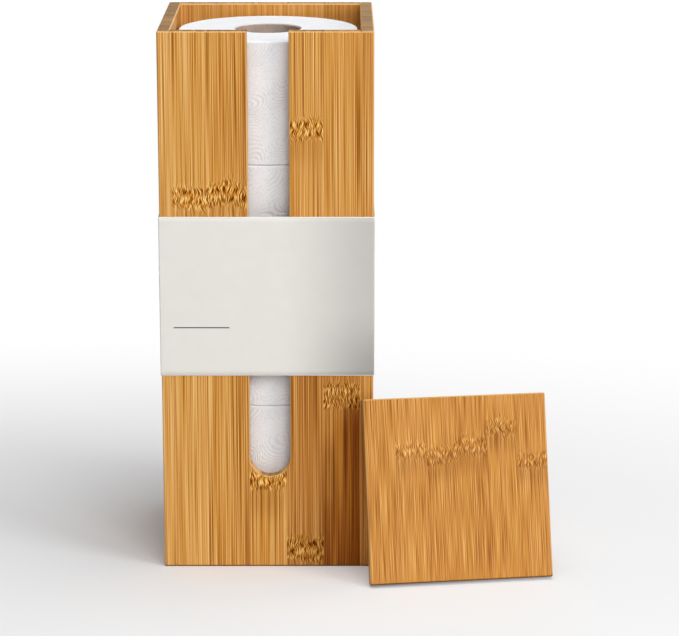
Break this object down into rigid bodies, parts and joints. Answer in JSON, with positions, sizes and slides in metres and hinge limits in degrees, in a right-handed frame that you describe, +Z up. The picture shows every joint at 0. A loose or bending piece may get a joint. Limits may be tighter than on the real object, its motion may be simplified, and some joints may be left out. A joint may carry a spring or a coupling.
{
  "type": "toilet roll storage holder",
  "caption": "Tall square bamboo box, open at the top with a round-ended slot down its front, holding a stack of toilet rolls, with a paper band and a loose square lid.",
  "frame": {"origin": "centre of the box's square footprint, on the surface that it stands on", "axes": "+Z up, +X to the right of the slotted front face, +Y from the slotted front face to the back"},
  "size_m": [0.2786, 0.198, 0.388],
  "materials": {
    "bamboo_front": "satin",
    "bamboo_side": "satin",
    "bamboo_lid": "satin",
    "dowel_wood": "matte",
    "tissue": "matte",
    "core_board": "matte",
    "sleeve_paper": "matte"
  },
  "bodies": {
    "holder": {"front_panel": "bamboo_front", "back_panel": "bamboo_front", "left_side_panel": "bamboo_side", "right_side_panel": "bamboo_side", "base_panel": "bamboo_side", "dowels_front_left": "dowel_wood", "dowels_front_right": "dowel_wood", "dowels_back_left": "dowel_wood", "dowels_back_right": "dowel_wood"},
    "roll_1": {"roll_1_paper": "tissue", "roll_1_core": "core_board"},
    "roll_2": {"roll_2_paper": "tissue", "roll_2_core": "core_board"},
    "roll_3": {"roll_3_paper": "tissue", "roll_3_core": "core_board"},
    "roll_4": {"roll_4_paper": "tissue", "roll_4_core": "core_board"},
    "sleeve": {"paper_sleeve": "sleeve_paper"},
    "lid": {"lid": "bamboo_lid"}
  },
  "joints": [
    {"name": "roll_1_lift", "type": "slide", "parent": "holder", "child": "roll_1", "axis": [0, 0, 1], "range_m": [0, 0.37]},
    {"name": "roll_2_lift", "type": "slide", "parent": "roll_1", "child": "roll_2", "axis": [0, 0, 1], "range_m": [0, 0.28]},
    {"name": "roll_3_lift", "type": "slide", "parent": "roll_2", "child": "roll_3", "axis": [0, 0, 1], "range_m": [0, 0.195]},
    {"name": "roll_4_lift", "type": "slide", "parent": "roll_3", "child": "roll_4", "axis": [0, 0, 1], "range_m": [0, 0.105]},
    {"name": "sleeve_slide", "type": "slide", "parent": "holder", "child": "sleeve", "axis": [0, 0, 1], "range_m": [0, 0.25]},
    {"name": "lid_lift", "type": "slide", "parent": "holder", "child": "lid", "axis": [0.3519, -0.2509, 0.9018], "range_m": [0, 0.3]}
  ]
}
